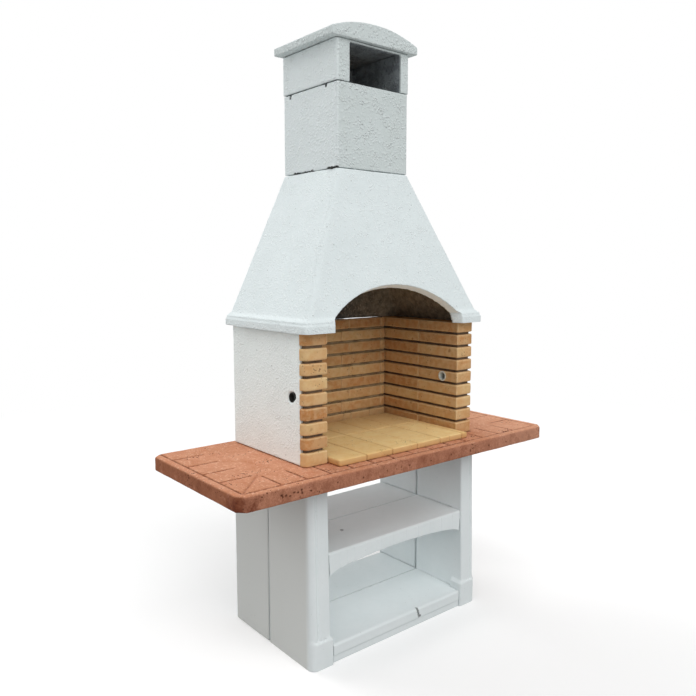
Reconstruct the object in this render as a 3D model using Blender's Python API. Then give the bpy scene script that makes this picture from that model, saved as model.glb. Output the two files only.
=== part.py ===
"""Outdoor masonry barbecue, modelled piece by piece as it is assembled.

Units are metres and +Z is up. The origin is on the ground, under the middle of the worktop.
+X runs along the worktop to the right, and the open front of the firebox faces -Y.
"""
import math

import bmesh
import bpy
from mathutils import Vector

# Clearance between pieces that touch, and the overrun of every cutter
gap = 0.0003
overrun = 0.02

# Worktop
worktop_width = 1.510
worktop_depth = 0.620
worktop_thickness = 0.055
worktop_corner_cut = 0.026
worktop_edge_round = 0.010
worktop_foot_bevel = 0.003
border_inset = 0.030
corner_block_size = 0.145
pattern_groove_width = 0.011
pattern_groove_depth = 0.0042
pattern_run_out = 0.030
front_brick_count = 12
wing_brick_count = 4

# Base modules
base_height = 0.669
base_width = 0.855
base_setback = 0.088
base_lean = 0.016
front_module_depth = 0.270
rear_module_depth = 0.240
side_slab_thickness = 0.085
module_joint = 0.0015
joint_foot_opening = 0.006
pilaster_roll_width = 0.021
pilaster_roll_flattening = 0.009
pilaster_groove_width = 0.010
pilaster_groove_depth = 0.004
slab_arris = 0.004
bearing_flare = 0.0012
plinth_height = 0.110
plinth_depth = 0.055
plinth_proud_front = 0.003
plinth_proud_inside = 0.010
plinth_shoulder = 0.004

# Shelf and floor
shelf_top_height = 0.408
shelf_thickness = 0.042
apron_setback = 0.004
apron_thickness = 0.045
apron_depth_at_crown = 0.052
apron_arch_rise = 0.037
apron_shoulder = 0.006
voussoir_pitch = 0.065
voussoir_groove_width = 0.004
voussoir_groove_depth = 0.002
front_arris = 0.006
floor_top_height = 0.069
floor_thickness = 0.045
beam_setback = 0.003
beam_foot_height = 0.027
beam_foot_recess = 0.003
bearing_depth = 0.012
rear_edge_setback = 0.008

# Firebox brickwork
firebox_width = 0.855
firebox_setback = 0.122
firebox_back_margin = 0.031
side_wall_thickness = 0.098
back_wall_thickness = 0.041
course_count = 9
brick_height = 0.0415
bed_joint = 0.0096
foot_bed = 0.0067
head_joint = 0.002
joint_rake = 0.013
head_joint_depth = 0.003
brick_length = 0.220
stretcher_length = 0.219
bond_centre = 0.007
bond_shift = 0.041
shortest_cut_brick = 0.012
jamb_round = 0.022
jamb_return = 0.027
brick_arris = 0.0018
panel_thickness = 0.015
panel_arris = 0.0012
mortar_backing = 0.007
back_brick_thickness = 0.022
back_panel_thickness = 0.012

# Spit sleeves
spit_course = 5
spit_setback = 0.080
sleeve_diameter = 0.034
sleeve_bore = 0.031
sleeve_recess = 0.004
collar_diameter = 0.041
collar_thickness = 0.002

# Hearth
tile_thickness = 0.0235
hearth_projection = 0.060
hearth_front_row_depth = 0.268
hearth_closer_width = 0.030
hearth_full_tiles = 5
tile_joint = 0.0012
hearth_left_gap = 0.0048
tile_arris = 0.0015

# Hood
rim_overhang_side = 0.0205
rim_overhang_front = 0.0345
rim_overhang_back = 0.020
rim_foot_bevel = 0.003
rim_fascia_height = 0.026
rim_step_height = 0.002
rim_step_inset = 0.004
rim_bead_height = 0.010
rim_bead_round = 0.003
rim_slope_height = 0.010
rim_slope_run = 0.016
rim_back_run = 0.011
rim_corner_round = 0.030
hood_corner_round = 0.028
hood_height = 0.5765
hood_wall = 0.040
hood_back_wall = 0.035
arch_half_span = 0.312
arch_rise = 0.127
arch_splay = 0.014
arch_splay_rise = 0.016
smoke_gap_height = 0.004
smoke_gap_width = 0.165
smoke_gap_centre = 0.190

# Chimney, cap and roof
stack_width = 0.350
stack_depth = 0.340
stack_height = 0.304
stack_wall = 0.036
stack_round = 0.012
cap_height = 0.146
cap_wall = 0.050
cap_overhang = 0.004
smoke_opening_shift = 0.008
smoke_opening_head = 0.008
smoke_opening_head_thickness = 0.030
roof_overhang_side = 0.035
roof_overhang_front = 0.014
roof_overhang_back = 0.015
roof_edge_thickness = 0.031
roof_rise = 0.040
roof_arris = 0.003

# Facets of the round stretches
corner_steps = 4
jamb_steps = 5
arch_steps = 20
roof_steps = 16
sleeve_steps = 24

# Levels worked out from the sizes above
worktop_front = -worktop_depth / 2
worktop_top = base_height + worktop_thickness
base_front = worktop_front + base_setback
module_joint_y = base_front + front_module_depth
base_back = module_joint_y + rear_module_depth
slab_outer_x = base_width / 2
slab_inner_x = slab_outer_x - side_slab_thickness
apron_front = base_front + base_lean * shelf_top_height / base_height + apron_setback
apron_back = apron_front + apron_thickness
beam_front = base_front + beam_setback
beam_back = base_front + plinth_depth + 2 * gap
jamb_front = worktop_front + firebox_setback
firebox_depth = worktop_depth - firebox_setback - firebox_back_margin
firebox_outer_x = firebox_width / 2
firebox_inner_x = firebox_outer_x - side_wall_thickness
firebox_back = jamb_front + firebox_depth
firebox_inner_back = firebox_back - back_wall_thickness
course_pitch = brick_height + bed_joint
brickwork_top = worktop_top + foot_bed + course_count * course_pitch - bed_joint
panel_inner_x = firebox_outer_x - panel_thickness
backing_inner_x = panel_inner_x - gap - mortar_backing
brick_back_x = backing_inner_x - gap
back_panel_front = firebox_back - back_panel_thickness
spit_y = jamb_front + spit_setback
spit_z = worktop_top + foot_bed + (spit_course - 1) * course_pitch + brick_height / 2
rim_bottom = brickwork_top + gap
rim_half_width = firebox_outer_x + rim_overhang_side
rim_front = jamb_front - rim_overhang_front
rim_back = firebox_back + rim_overhang_back
rim_height = rim_fascia_height + rim_step_height + rim_bead_height + rim_bead_round
hood_foot = rim_bottom + rim_height + rim_slope_height
hood_top = rim_bottom + hood_height
stack_half_width = stack_width / 2
stack_back = rim_back - rim_back_run
stack_front = stack_back - stack_depth
stack_top = hood_top + stack_height
cap_top = stack_top + cap_height


def clear_objects():
    """Remove whatever the file holds before the model is made."""
    for old in list(bpy.data.objects):
        bpy.data.objects.remove(old, do_unlink=True)


def make_material(name, colour, roughness, metallic=0.0):
    """One Principled material, with its colour given as sRGB shares."""
    material = bpy.data.materials.new(name)
    material.use_nodes = True
    shader = material.node_tree.nodes["Principled BSDF"]
    linear = [channel ** 2.2 for channel in colour]
    shader.inputs["Base Color"].default_value = (*linear, 1.0)
    shader.inputs["Roughness"].default_value = roughness
    shader.inputs["Metallic"].default_value = metallic
    material.diffuse_color = (*linear, 1.0)
    return material


def make_materials():
    """The materials that the pieces share, by a short name."""
    return {
        "paint": make_material("white_masonry_paint", (0.86, 0.88, 0.88), 0.6),
        "stucco": make_material("white_stucco", (0.87, 0.88, 0.88), 0.85),
        "worktop": make_material("terracotta_concrete", (0.78, 0.53, 0.43), 0.7),
        "brick": make_material("firebrick", (0.76, 0.59, 0.40), 0.85),
        "tile": make_material("firebrick_tile", (0.82, 0.70, 0.48), 0.8),
        "mortar": make_material("fire_mortar", (0.47, 0.42, 0.35), 0.95),
        "steel": make_material("galvanised_steel", (0.62, 0.63, 0.63), 0.4, 0.9),
    }


def finish_mesh(name, mesh_data, material):
    """Turn a bmesh into a named object with faces that point out."""
    bmesh.ops.recalc_face_normals(mesh_data, faces=mesh_data.faces)
    mesh = bpy.data.meshes.new(name)
    mesh_data.to_mesh(mesh)
    mesh_data.free()
    mesh.materials.append(material)
    piece = bpy.data.objects.new(name, mesh)
    bpy.context.scene.collection.objects.link(piece)
    return piece


def loft(name, rings, material):
    """A closed solid through rings of as many points, with both ends filled."""
    mesh_data = bmesh.new()
    levels = [[mesh_data.verts.new(point) for point in ring] for ring in rings]
    for lower, upper in zip(levels, levels[1:]):
        count = len(lower)
        for index in range(count):
            after = (index + 1) % count
            mesh_data.faces.new((lower[index], lower[after], upper[after], upper[index]))
    mesh_data.faces.new(list(reversed(levels[0])))
    mesh_data.faces.new(levels[-1])
    return finish_mesh(name, mesh_data, material)


def at_height(outline, z):
    """Lift a plan outline to a height."""
    return [(x, y, z) for x, y in outline]


def at_depth(outline, y):
    """Stand a front outline up at a depth."""
    return [(x, y, z) for x, z in outline]


def at_side(outline, x):
    """Stand a side outline up at a place along the width."""
    return [(x, y, z) for y, z in outline]


def mirrored(outline):
    """The same plan outline on the left side, still running the same way round."""
    return [(-x, y) for x, y in reversed(outline)]


def on_side(outline, side):
    """A right-hand plan outline, or its mirror image for the left side."""
    return outline if side > 0 else mirrored(outline)


def box(name, low, high, material):
    """A plain block between two corners."""
    plan = [(low[0], low[1]), (high[0], low[1]), (high[0], high[1]), (low[0], high[1])]
    return loft(name, [at_height(plan, low[2]), at_height(plan, high[2])], material)


def arc(centre, radius, start, end, steps):
    """Points along a circular arc in a plane, both ends included."""
    turns = [math.radians(start + (end - start) * step / steps) for step in range(steps + 1)]
    return [(centre[0] + radius * math.cos(turn), centre[1] + radius * math.sin(turn)) for turn in turns]


def use_as_cutter(cutter):
    """Hide a cutter from the finished model."""
    cutter.hide_render = True
    cutter.display_type = "WIRE"


def cut(piece, cutter, crossing=False):
    """Take a cutter out of a piece."""
    use_as_cutter(cutter)
    modifier = piece.modifiers.new("cut_" + cutter.name, "BOOLEAN")
    modifier.operation = "DIFFERENCE"
    modifier.solver = "EXACT"
    modifier.use_self = crossing
    modifier.object = cutter


def bevel(piece, width, angle=40.0):
    """Break the sharp arrises that stand out, and leave the re-entrant corners sharp."""
    mesh_data = bmesh.new()
    mesh_data.from_mesh(piece.data)
    weight = mesh_data.edges.layers.float.new("bevel_weight_edge")
    for edge in mesh_data.edges:
        if edge.calc_face_angle_signed() > math.radians(angle):
            edge[weight] = 1.0
    mesh_data.to_mesh(piece.data)
    mesh_data.free()
    modifier = piece.modifiers.new("arris", "BEVEL")
    modifier.width = width
    modifier.segments = 1
    modifier.limit_method = "WEIGHT"


def shade_round(piece):
    """Smooth shading on the round stretches only."""
    piece.data.shade_smooth()
    piece.data.set_sharp_from_angle(angle=math.radians(35.0))


def turned(name, stations, material):
    """A round solid on the axis of the spit, through stations of a place along X and a radius."""
    rings = []
    for x, radius in stations:
        circle = arc((spit_y, spit_z), radius, 0.0, 360.0 - 360.0 / sleeve_steps, sleeve_steps - 1)
        rings.append(at_side(circle, x))
    return loft(name, rings, material)


def tube_cutter(name, radius, start_x, end_x, material):
    """A round cutter along X on the axis of the spit."""
    return turned(name, ((start_x, radius), (end_x, radius)), material)


def grooves_cutter(name, lines, surface, width, depth, material):
    """V-shaped channels in a level surface, each fading out over its own run at the far end.

    A line is its start, its end and the length over which its depth runs out.
    """
    mesh_data = bmesh.new()
    rise = overrun / 4
    half_top = width / 2 * (1 + rise / depth)
    for start, end, run_out in lines:
        along = Vector((end[0] - start[0], end[1] - start[1], 0.0))
        length = along.length
        along.normalize()
        across = Vector((-along.y, along.x, 0.0))
        origin = Vector((start[0], start[1], surface))
        stations = [(0.0, 0.0), (length, 0.0)]
        if run_out > 0:
            stations = [(0.0, 0.0), (length - run_out, 0.0), (length, depth + rise / 2)]
        levels = []
        for distance, lift in stations:
            middle = origin + along * distance
            points = [
                middle + across * half_top + Vector((0.0, 0.0, rise)),
                middle - across * half_top + Vector((0.0, 0.0, rise)),
                middle + Vector((0.0, 0.0, lift - depth)),
            ]
            levels.append([mesh_data.verts.new(point) for point in points])
        for near, far in zip(levels, levels[1:]):
            for index in range(3):
                after = (index + 1) % 3
                mesh_data.faces.new((near[index], near[after], far[after], far[index]))
        mesh_data.faces.new(list(reversed(levels[0])))
        mesh_data.faces.new(levels[-1])
    return finish_mesh(name, mesh_data, material)


def cut_corner_plan(half_x, half_y, corner):
    """A rectangle with its four corners cut off."""
    return [
        (-half_x + corner, -half_y),
        (half_x - corner, -half_y),
        (half_x, -half_y + corner),
        (half_x, half_y - corner),
        (half_x - corner, half_y),
        (-half_x + corner, half_y),
        (-half_x, half_y - corner),
        (-half_x, -half_y + corner),
    ]


def inset_worktop_plan(inset):
    """The worktop's plan, drawn in by the same distance all round."""
    corner = worktop_corner_cut - inset * (2.0 - math.sqrt(2.0))
    return cut_corner_plan(worktop_width / 2 - inset, worktop_depth / 2 - inset, corner)


def worktop_grooves():
    """The embossed pattern: a border on three sides, corner blocks and a row of bricks inside it."""
    border_x = worktop_width / 2 - border_inset
    border_y = worktop_front + border_inset
    block_x = border_x - corner_block_size
    block_y = border_y + corner_block_size
    back = worktop_depth / 2 + overrun
    border = [
        ((-border_x, back), (-border_x, border_y), 0.0),
        ((-border_x, border_y), (border_x, border_y), 0.0),
        ((border_x, border_y), (border_x, back), 0.0),
    ]
    bricks = []
    for index in range(front_brick_count + 1):
        x = -block_x + 2 * block_x * index / front_brick_count
        bricks.append(((x, border_y), (x, block_y), pattern_run_out))
    wing_pitch = (worktop_depth / 2 - block_y) / wing_brick_count
    for side in (-1, 1):
        for index in range(wing_brick_count):
            y = block_y + wing_pitch * index
            bricks.append(((side * border_x, y), (side * block_x, y), pattern_run_out))
        bricks.append(((side * border_x, border_y), (side * block_x, block_y), 0.0))
    return border, bricks


def build_worktop(materials):
    """The cast worktop: rolled top edge, cut corners and the embossed brick pattern."""
    low = base_height
    rings = [
        at_height(inset_worktop_plan(worktop_foot_bevel), low),
        at_height(inset_worktop_plan(0.0), low + worktop_foot_bevel),
    ]
    for step in range(4):
        turn = math.radians(30.0 * step)
        inset = worktop_edge_round * (1.0 - math.cos(turn))
        height = worktop_top - worktop_edge_round * (1.0 - math.sin(turn))
        rings.append(at_height(inset_worktop_plan(inset), height))
    piece = loft("worktop", rings, materials["worktop"])
    border, bricks = worktop_grooves()
    sizes = (worktop_top, pattern_groove_width, pattern_groove_depth, materials["worktop"])
    cut(piece, grooves_cutter("border_cutter", border, *sizes), crossing=True)
    cut(piece, grooves_cutter("pattern_cutter", bricks, *sizes), crossing=True)
    return piece


def slab_plan(proud_front, proud_inside, groove_depth):
    """Right-hand front side slab in plan, with the pilaster's roll, groove and inner arris.

    A slab that leans back is given its front by a negative stand-out.
    """
    front = base_front - proud_front
    inside = slab_inner_x - proud_inside
    groove_x = slab_outer_x - pilaster_roll_width - pilaster_groove_width
    block_back = base_front + plinth_depth
    plan = [
        (inside, front + slab_arris),
        (inside + slab_arris, front),
        (groove_x - pilaster_groove_width / 2, front),
        (groove_x - pilaster_groove_width / 6, front + groove_depth),
        (groove_x + pilaster_groove_width / 6, front + groove_depth),
        (groove_x + pilaster_groove_width / 2, front),
    ]
    reach = pilaster_roll_width + pilaster_roll_flattening
    centre = (slab_outer_x - reach, front + reach)
    radius = math.hypot(reach, pilaster_roll_flattening)
    turn = math.degrees(math.atan2(pilaster_roll_flattening, reach))
    plan += arc(centre, radius, turn - 90.0, -turn, corner_steps)
    plan += [
        (slab_outer_x, module_joint_y - gap / 2),
        (slab_inner_x, module_joint_y - gap / 2),
        (slab_inner_x, block_back + gap),
        (inside, block_back),
    ]
    return plan


def bearing_cutter(name, side, low_y, high_y, low_z, high_z, material):
    """The groove in a side slab that carries the end of a shelf or a floor."""
    reach = slab_inner_x + bearing_depth + gap
    near = slab_inner_x - overrun
    left = min(side * near, side * reach)
    right = max(side * near, side * reach)
    return box(name, (left, low_y, low_z), (right, high_y, high_z), material)


def cut_bearings(piece, side, tag, front_low, floor_low, high_y, materials):
    """Both bearing grooves of one side slab, for the shelf and for the floor."""
    levels = (
        ("shelf", front_low, shelf_top_height - shelf_thickness, shelf_top_height),
        ("floor", floor_low, floor_top_height - floor_thickness, floor_top_height),
    )
    for kind, low_y, low_z, high_z in levels:
        name = tag + "_" + kind + "_bearing_cutter"
        cutter = bearing_cutter(name, side, low_y, high_y, low_z - gap, high_z + gap, materials["paint"])
        cut(piece, cutter)


def build_front_sides(materials):
    """Front side slabs, whose foot widens into a plinth block."""
    pieces = []
    for side, word in ((-1, "left"), (1, "right")):
        foot = on_side(slab_plan(plinth_proud_front, plinth_proud_inside, 0.0), side)
        low = -base_lean * plinth_height / base_height
        shaft = on_side(slab_plan(low, 0.0, pilaster_groove_depth), side)
        head = on_side(slab_plan(-base_lean, 0.0, pilaster_groove_depth), side)
        rings = [
            at_height(foot, 0.0),
            at_height(foot, plinth_height - plinth_shoulder),
            at_height(shaft, plinth_height),
            at_height(head, base_height - gap),
        ]
        piece = loft(word + "_front_side", rings, materials["paint"])
        far = module_joint_y + overrun
        cut_bearings(piece, side, word + "_front", apron_back, beam_back, far, materials)
        shade_round(piece)
        pieces.append(piece)
    return pieces


def build_rear_sides(materials):
    """Rear side slabs, whose front face leans so that the joint opens towards the ground."""
    pieces = []
    for side, word in ((-1, "left"), (1, "right")):
        rings = []
        for z, opening in ((0.0, joint_foot_opening), (base_height - gap, 0.0)):
            front = module_joint_y + gap / 2 + opening
            plan = [
                (slab_inner_x, front),
                (slab_outer_x, front),
                (slab_outer_x, base_back - slab_arris),
                (slab_outer_x - slab_arris, base_back),
                (slab_inner_x, base_back),
            ]
            rings.append(at_height(on_side(plan, side), z))
        piece = loft(word + "_rear_side", rings, materials["paint"])
        low_y = module_joint_y - overrun
        high_y = base_back - rear_edge_setback + gap
        cut_bearings(piece, side, word + "_rear", low_y, low_y, high_y, materials)
        pieces.append(piece)
    return pieces


def apron_outline(half_width, top, flat):
    """Front outline of the shelf: the apron's arch below, or the slab's flat underside."""
    crown = shelf_top_height - apron_depth_at_crown
    slab_bottom = shelf_top_height - shelf_thickness
    outline = [(-half_width, top), (half_width, top)]
    springing = half_width if flat else half_width - apron_shoulder
    for step in range(arch_steps + 1):
        turn = math.pi * step / arch_steps
        arch_z = crown - apron_arch_rise * (1.0 - math.sin(turn))
        outline.append((springing * math.cos(turn), slab_bottom if flat else arch_z))
    return outline


def build_front_shelf(materials):
    """Front shelf with its arched apron, and ends that bear in the side slabs."""
    top = shelf_top_height
    narrow = slab_inner_x - gap
    wide = slab_inner_x + bearing_depth
    arched = apron_outline(narrow, top, False)
    flat = apron_outline(wide, top, True)
    rings = [
        at_depth(apron_outline(narrow, top - front_arris, False), apron_front),
        at_depth(arched, apron_front + front_arris),
        at_depth(arched, apron_back - bearing_flare),
        at_depth(apron_outline(narrow, top, True), apron_back),
        at_depth(flat, apron_back + bearing_flare),
        at_depth(flat, module_joint_y - module_joint / 2),
    ]
    piece = loft("front_shelf", rings, materials["paint"])
    cut(piece, voussoir_cutter(materials))
    return piece


def voussoir_cutter(materials):
    """Upright V grooves that divide the apron into voussoirs."""
    mesh_data = bmesh.new()
    reach = overrun / 4
    half = voussoir_groove_width / 2 * (1 + reach / voussoir_groove_depth)
    count = int((slab_inner_x - apron_shoulder) / voussoir_pitch - 0.5) + 1
    places = [side * (index + 0.5) * voussoir_pitch for index in range(count) for side in (-1, 1)]
    foot = shelf_top_height - apron_depth_at_crown - apron_arch_rise - overrun
    for x in places:
        levels = []
        for z in (foot, shelf_top_height + overrun):
            points = [
                (x - half, apron_front - reach, z),
                (x + half, apron_front - reach, z),
                (x, apron_front + voussoir_groove_depth, z),
            ]
            levels.append([mesh_data.verts.new(point) for point in points])
        for index in range(3):
            after = (index + 1) % 3
            mesh_data.faces.new((levels[0][index], levels[0][after], levels[1][after], levels[1][index]))
        mesh_data.faces.new(list(reversed(levels[0])))
        mesh_data.faces.new(levels[1])
    return finish_mesh("voussoir_cutter", mesh_data, materials["paint"])


def front_rectangle(half_width, low, high):
    """A rectangle seen from the front."""
    return [(-half_width, high), (half_width, high), (half_width, low), (-half_width, low)]


def build_front_floor(materials):
    """Front floor slab with its beam, whose foot is set back behind a step."""
    top = floor_top_height
    narrow = slab_inner_x - plinth_proud_inside - gap
    wide = slab_inner_x + bearing_depth
    slab_bottom = top - floor_thickness
    rings = [
        at_depth(front_rectangle(narrow, 0.0, top - front_arris), beam_front),
        at_depth(front_rectangle(narrow, 0.0, top), beam_front + front_arris),
        at_depth(front_rectangle(narrow, 0.0, top), beam_back - bearing_flare),
        at_depth(front_rectangle(narrow, slab_bottom, top), beam_back),
        at_depth(front_rectangle(wide, slab_bottom, top), beam_back + bearing_flare),
        at_depth(front_rectangle(wide, slab_bottom, top), module_joint_y - module_joint / 2),
    ]
    piece = loft("front_floor", rings, materials["paint"])
    low = (-slab_outer_x, beam_front - overrun, -overrun)
    high = (slab_outer_x, beam_front + beam_foot_recess, beam_foot_height)
    cut(piece, box("beam_foot_cutter", low, high, materials["paint"]))
    return piece


def build_rear_slabs(materials):
    """Rear shelf and rear floor, plain slabs that bear in the rear side slabs."""
    wide = slab_inner_x + bearing_depth
    low_y = module_joint_y + module_joint / 2
    high_y = base_back - rear_edge_setback
    pieces = []
    for name, top, thickness in (
        ("rear_shelf", shelf_top_height, shelf_thickness),
        ("rear_floor", floor_top_height, floor_thickness),
    ):
        piece = box(name, (-wide, low_y, top - thickness), (wide, high_y, top), materials["paint"])
        pieces.append(piece)
    return pieces


def side_course_plan():
    """A right-hand course in plan: jamb brick with its round corner, then the brick behind it."""
    joint_y = jamb_front + stretcher_length
    radius = min(jamb_round, jamb_return - gap)
    plan = [(firebox_inner_x, jamb_front)]
    plan += arc((firebox_outer_x - radius, jamb_front + radius), radius, -90.0, 0.0, jamb_steps)
    plan += [
        (firebox_outer_x, jamb_front + jamb_return),
        (brick_back_x, jamb_front + jamb_return),
        (brick_back_x, back_panel_front - gap),
        (firebox_inner_x, back_panel_front - gap),
        (firebox_inner_x, joint_y + head_joint / 2),
        (firebox_inner_x + head_joint_depth, joint_y + head_joint / 2),
        (firebox_inner_x + head_joint_depth, joint_y - head_joint / 2),
        (firebox_inner_x, joint_y - head_joint / 2),
    ]
    return plan


def back_course_plan(shift):
    """A back course in plan, with a shallow groove at each head joint."""
    half = firebox_inner_x - gap
    back = firebox_inner_back + back_brick_thickness
    pitch = brick_length + head_joint
    reach = int(half / pitch) + 2
    joints = [(index + 0.5) * pitch + bond_centre + shift for index in range(-reach, reach)]
    front = [(-half, firebox_inner_back)]
    for joint in joints:
        if abs(joint) < half - shortest_cut_brick:
            front += [
                (joint - head_joint / 2, firebox_inner_back),
                (joint - head_joint / 2, firebox_inner_back + head_joint_depth),
                (joint + head_joint / 2, firebox_inner_back + head_joint_depth),
                (joint + head_joint / 2, firebox_inner_back),
            ]
    front.append((half, firebox_inner_back))
    return front + [(half, back), (-half, back)]


def course_levels(course):
    """Bottom and top of a course; the lowest one includes the flush bed that it stands on."""
    foot = worktop_top + foot_bed + course * course_pitch
    low = worktop_top + gap if course == 0 else foot + gap
    high = foot + brick_height - (gap if course + 1 == course_count else 0.0)
    return low, high


def build_courses(materials):
    """Every brick course of the side walls and of the back wall."""
    pieces = []
    bore = sleeve_diameter / 2 + gap
    for course in range(course_count):
        low, high = course_levels(course)
        number = str(course + 1)
        for side, word in ((-1, "left"), (1, "right")):
            plan = on_side(side_course_plan(), side)
            rings = [at_height(plan, low), at_height(plan, high)]
            piece = loft(word + "_course_" + number, rings, materials["brick"])
            bevel(piece, brick_arris)
            if course + 1 == spit_course:
                near = side * (firebox_inner_x - overrun)
                far = side * (brick_back_x + overrun)
                cut(piece, tube_cutter(word + "_brick_bore_cutter", bore, near, far, materials["brick"]))
            shade_round(piece)
            pieces.append(piece)
        plan = back_course_plan(0.0 if course % 2 == 0 else -bond_shift)
        rings = [at_height(plan, low), at_height(plan, high)]
        piece = loft("back_course_" + number, rings, materials["brick"])
        bevel(piece, brick_arris)
        pieces.append(piece)
    return pieces


def side_bed_plan():
    """A right-hand bed joint in plan, raked back from the faces of the bricks."""
    inner = firebox_inner_x + joint_rake
    front = jamb_front + joint_rake
    outer = firebox_outer_x - joint_rake
    radius = min(jamb_round, jamb_return - gap) - joint_rake
    plan = [(inner, front)]
    plan += arc((outer - radius, front + radius), radius, -90.0, 0.0, jamb_steps)
    plan += [
        (outer, jamb_front + jamb_return),
        (backing_inner_x + mortar_backing / 2, jamb_front + jamb_return),
        (backing_inner_x + mortar_backing / 2, back_panel_front - gap),
        (inner, back_panel_front - gap),
    ]
    return plan


def join_solids(target, others):
    """Merge overlapping solids into the first one."""
    for other in others:
        use_as_cutter(other)
        modifier = target.modifiers.new("join_" + other.name, "BOOLEAN")
        modifier.operation = "UNION"
        modifier.solver = "EXACT"
        modifier.object = other


def build_side_mortar(materials):
    """Mortar behind each side wall's bricks, with a raked bed between every two courses."""
    pieces = []
    bore = sleeve_diameter / 2 + gap
    for side, word in ((-1, "left"), (1, "right")):
        near = side * backing_inner_x
        far = side * (backing_inner_x + mortar_backing)
        low = (min(near, far), jamb_front + jamb_return + gap, worktop_top + gap)
        high = (max(near, far), back_panel_front - gap, brickwork_top)
        piece = box(word + "_mortar", low, high, materials["mortar"])
        beds = []
        for course in range(course_count - 1):
            bottom = course_levels(course)[1] + gap
            top = course_levels(course + 1)[0] - gap
            plan = on_side(side_bed_plan(), side)
            rings = [at_height(plan, bottom), at_height(plan, top)]
            beds.append(loft(word + "_bed_" + str(course + 1), rings, materials["mortar"]))
        join_solids(piece, beds)
        start = side * (backing_inner_x - overrun)
        end = side * (backing_inner_x + mortar_backing + overrun)
        cut(piece, tube_cutter(word + "_mortar_bore_cutter", bore, start, end, materials["mortar"]))
        pieces.append(piece)
    return pieces


def build_back_mortar(materials):
    """Mortar behind the back wall's bricks, with a raked bed between every two courses."""
    half = firebox_inner_x - gap
    backing_front = firebox_inner_back + back_brick_thickness + gap
    low = (-half, backing_front, worktop_top + gap)
    high = (half, back_panel_front - gap, brickwork_top)
    piece = box("back_mortar", low, high, materials["mortar"])
    beds = []
    middle = (backing_front + back_panel_front - gap) / 2
    inset = half - joint_rake / 2
    front = firebox_inner_back + joint_rake
    for course in range(course_count - 1):
        low = (-inset, front, course_levels(course)[1] + gap)
        high = (inset, middle, course_levels(course + 1)[0] - gap)
        beds.append(box("back_bed_" + str(course + 1), low, high, materials["mortar"]))
    join_solids(piece, beds)
    cut(piece, smoke_gap_cutter("back_mortar_gap_cutter", materials))
    return piece


def smoke_gap_cutter(name, materials):
    """The slit that is left open under the hood on top of the back wall."""
    low_x = smoke_gap_centre - smoke_gap_width / 2
    high_x = smoke_gap_centre + smoke_gap_width / 2
    low = (low_x, firebox_inner_back - overrun, brickwork_top - smoke_gap_height)
    high = (high_x, firebox_back + overrun, brickwork_top + overrun)
    return box(name, low, high, materials["mortar"])


def build_panels(materials):
    """Stuccoed panels on the outside of the brickwork."""
    pieces = []
    bore = sleeve_diameter / 2 + gap
    for side, word in ((-1, "left"), (1, "right")):
        near = side * panel_inner_x
        far = side * firebox_outer_x
        low = (min(near, far), jamb_front + jamb_return + gap, worktop_top + gap)
        high = (max(near, far), firebox_back, brickwork_top)
        piece = box(word + "_panel", low, high, materials["stucco"])
        bevel(piece, panel_arris)
        start = side * (panel_inner_x - overrun)
        end = side * (firebox_outer_x + overrun)
        cut(piece, tube_cutter(word + "_panel_bore_cutter", bore, start, end, materials["stucco"]))
        pieces.append(piece)
    reach = panel_inner_x - gap
    low = (-reach, back_panel_front, worktop_top + gap)
    high = (reach, firebox_back, brickwork_top)
    back = box("back_panel", low, high, materials["stucco"])
    cut(back, smoke_gap_cutter("back_panel_gap_cutter", materials))
    pieces.append(back)
    return pieces


def build_sleeves(materials):
    """Steel sleeves that carry a spit through the side walls, each with a collar on the bricks."""
    pieces = []
    for side, word in ((-1, "left"), (1, "right")):
        near = side * (firebox_inner_x - gap - collar_thickness)
        seat = side * (firebox_inner_x - gap)
        far = side * (firebox_outer_x - sleeve_recess)
        collar = ((near, collar_diameter / 2), (seat, collar_diameter / 2))
        tube = ((seat, sleeve_diameter / 2), (far, sleeve_diameter / 2))
        piece = turned(word + "_spit_sleeve", collar + tube, materials["steel"])
        start = near - side * overrun
        end = far + side * overrun
        bore = tube_cutter(word + "_bore_cutter", sleeve_bore / 2, start, end, materials["steel"])
        cut(piece, bore)
        shade_round(piece)
        pieces.append(piece)
    return pieces


def build_hearth(materials):
    """Two rows of hearth tiles, each with a narrow closer at its right end."""
    pieces = []
    left_end = -firebox_inner_x + hearth_left_gap
    right_end = firebox_inner_x - gap
    row_joint = jamb_front - hearth_projection + hearth_front_row_depth
    rows = (
        ("front", jamb_front - hearth_projection, row_joint - tile_joint / 2),
        ("rear", row_joint + tile_joint / 2, firebox_inner_back - gap),
    )
    pitch = (right_end - left_end - hearth_closer_width) / hearth_full_tiles
    for word, low_y, high_y in rows:
        for index in range(hearth_full_tiles + 1):
            low_x = left_end + index * pitch + (tile_joint / 2 if index else 0.0)
            high_x = right_end
            if index < hearth_full_tiles:
                high_x = left_end + (index + 1) * pitch - tile_joint / 2
            low = (low_x, low_y, worktop_top + gap)
            high = (high_x, high_y, worktop_top + tile_thickness)
            piece = box("hearth_tile_" + word + "_" + str(index + 1), low, high, materials["tile"])
            bevel(piece, tile_arris)
            pieces.append(piece)
    return pieces


def rounded_plan(half_x, front, back, radius, back_radius):
    """A rectangle with round front corners and small round back corners."""
    plan = arc((half_x - radius, front + radius), radius, -90.0, 0.0, corner_steps)
    plan += arc((half_x - back_radius, back - back_radius), back_radius, 0.0, 90.0, 2)
    plan += arc((-half_x + back_radius, back - back_radius), back_radius, 90.0, 180.0, 2)
    plan += arc((-half_x + radius, front + radius), radius, 180.0, 270.0, corner_steps)
    return plan


def rim_plan(inset, radius):
    """The hood's rim in plan, drawn in less at the back than at the front and sides."""
    back_inset = inset * rim_back_run / (rim_step_inset + rim_slope_run)
    back = rim_back - back_inset
    return rounded_plan(rim_half_width - inset, rim_front + inset, back, radius, rim_foot_bevel)


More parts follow.
